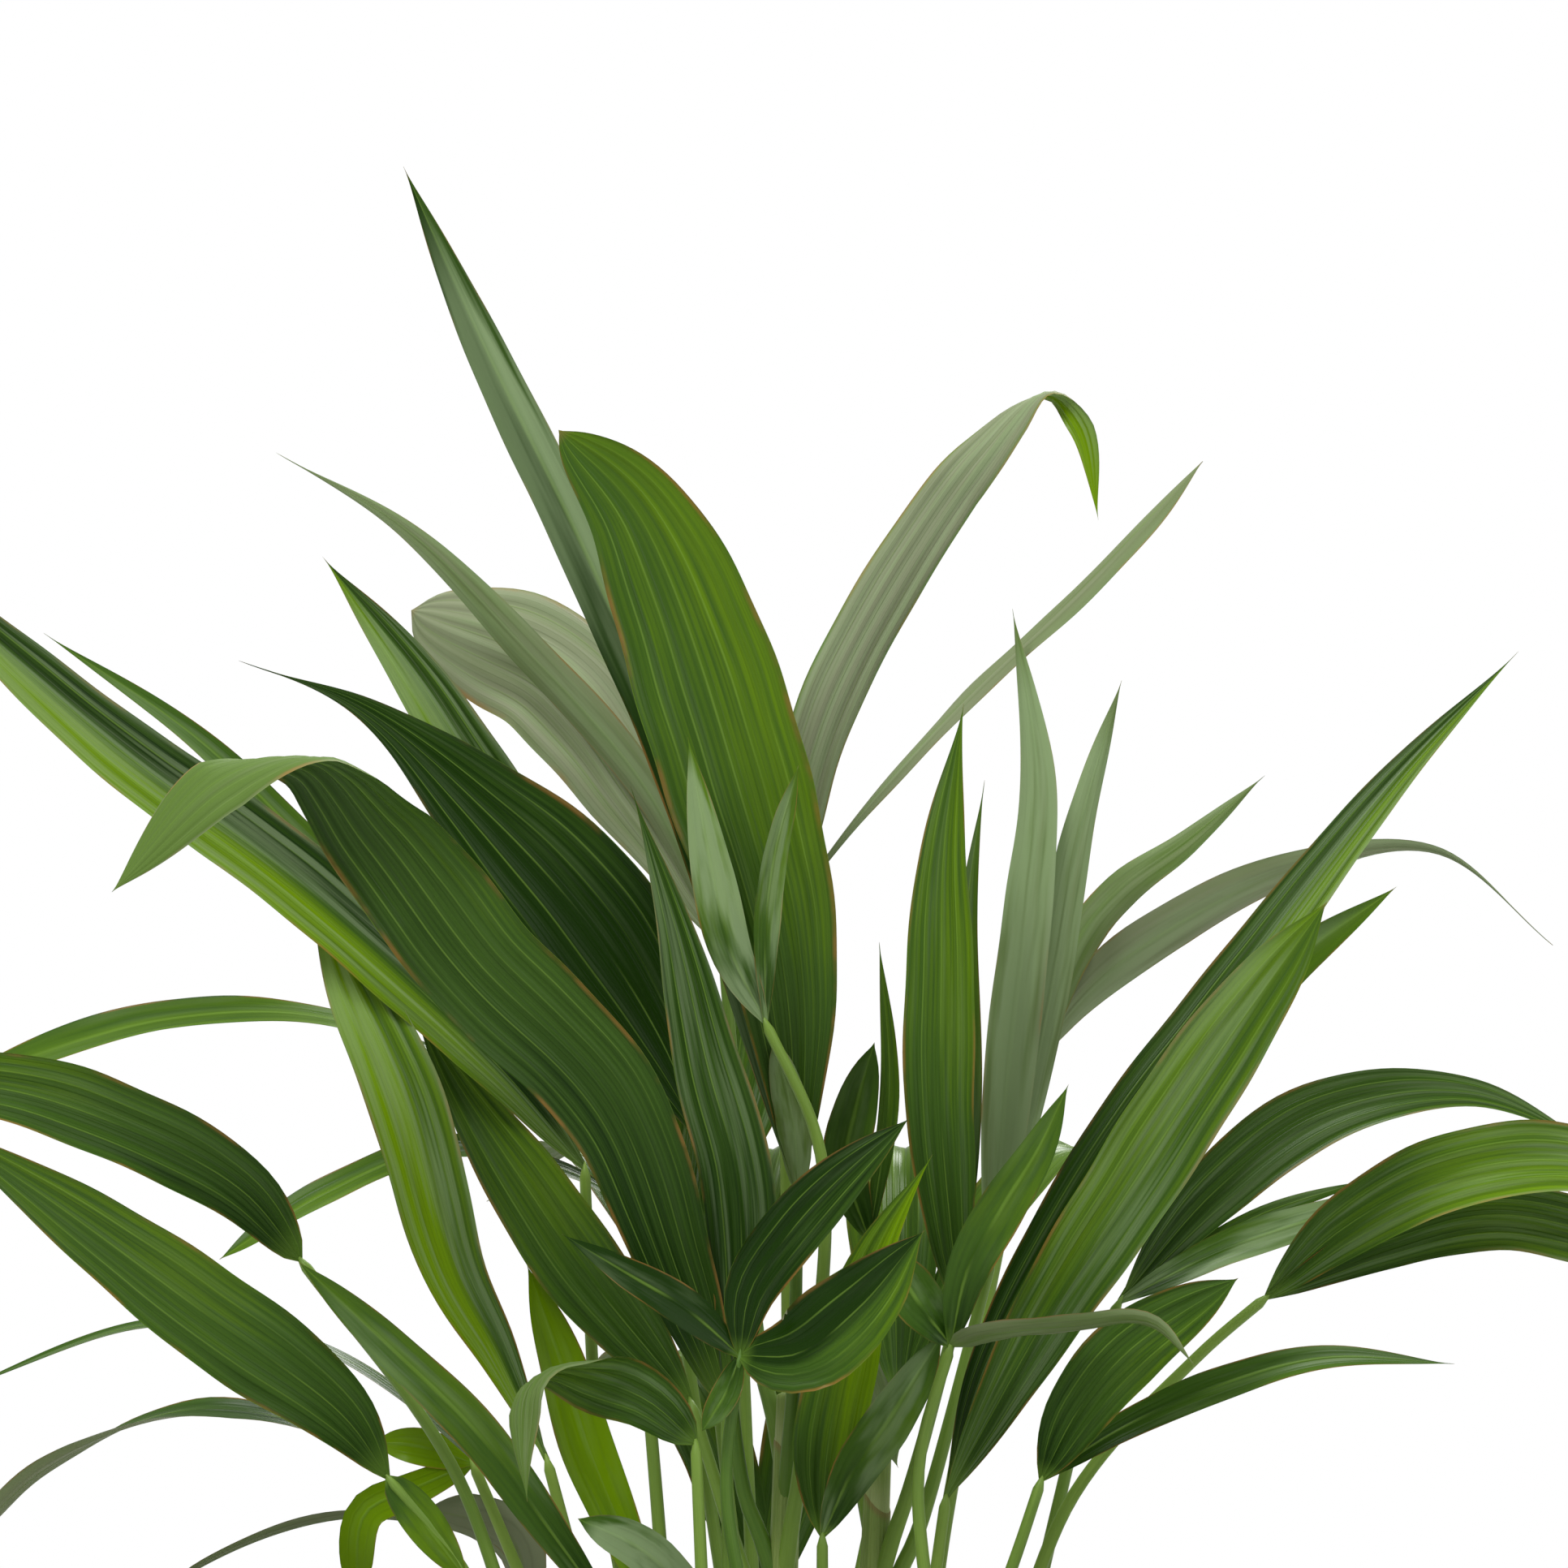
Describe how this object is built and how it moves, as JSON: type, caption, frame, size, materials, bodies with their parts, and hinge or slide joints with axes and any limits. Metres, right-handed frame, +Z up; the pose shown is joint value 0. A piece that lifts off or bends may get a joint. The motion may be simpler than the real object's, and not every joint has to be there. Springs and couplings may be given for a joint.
{
  "type": "potted areca palm",
  "caption": "Young areca palm: a clump of slender shoots with forked, pleated lance fronds, standing in a plain clay pot.",
  "frame": {"origin": "middle of the pot's flat underside", "axes": "+Z up along the shoots, -Y towards the viewer of the picture, +X to the right"},
  "size_m": [0.409, 0.3046, 0.494],
  "materials": {
    "clay": "matt fired clay",
    "compost": "rough, crumbly",
    "sheath": "satin, finely ribbed",
    "leaf": "satin to glossy, pleated"
  },
  "bodies": {
    "root": {"pot": "clay", "compost": "compost", "shoot_left_front": "sheath", "shoot_left_back": "sheath", "shoot_front_left": "sheath", "shoot_middle": "sheath", "shoot_front": "sheath", "shoot_back": "sheath", "shoot_right_middle": "sheath", "shoot_right_front": "sheath", "shoot_right_back": "sheath", "frond_spear": "leaf", "frond_sage": "leaf", "frond_hook": "leaf", "frond_left_upper": "leaf", "frond_folded": "leaf", "frond_left_high": "leaf", "frond_pale_left": "leaf", "frond_dark_left": "leaf", "frond_centre": "leaf", "frond_right_upright": "leaf", "frond_right_pale": "leaf", "frond_right_arch": "leaf", "frond_right_long": "leaf", "frond_right_middle": "leaf", "frond_right_broad": "leaf", "frond_right_low": "leaf", "frond_middle_slim": "leaf", "frond_lime": "leaf", "frond_curled": "leaf", "frond_behind_left": "leaf", "frond_left_veined": "leaf", "frond_left_slim": "leaf", "frond_left_low": "leaf", "frond_left_drooping": "leaf", "frond_left_grey": "leaf", "frond_left_yellow": "leaf", "frond_low_shiny": "leaf", "frond_front_star": "leaf", "frond_front_right": "leaf", "frond_low_1": "leaf", "frond_low_2": "leaf", "frond_low_3": "leaf", "frond_low_4": "leaf", "frond_low_5": "leaf", "frond_low_6": "leaf", "frond_low_7": "leaf", "frond_low_8": "leaf", "frond_low_9": "leaf", "frond_low_10": "leaf", "frond_low_11": "leaf", "frond_low_12": "leaf", "frond_rear_1": "leaf", "frond_rear_2": "leaf", "frond_rear_3": "leaf", "frond_crest_1": "leaf", "frond_crest_2": "leaf"}
  },
  "joints": []
}
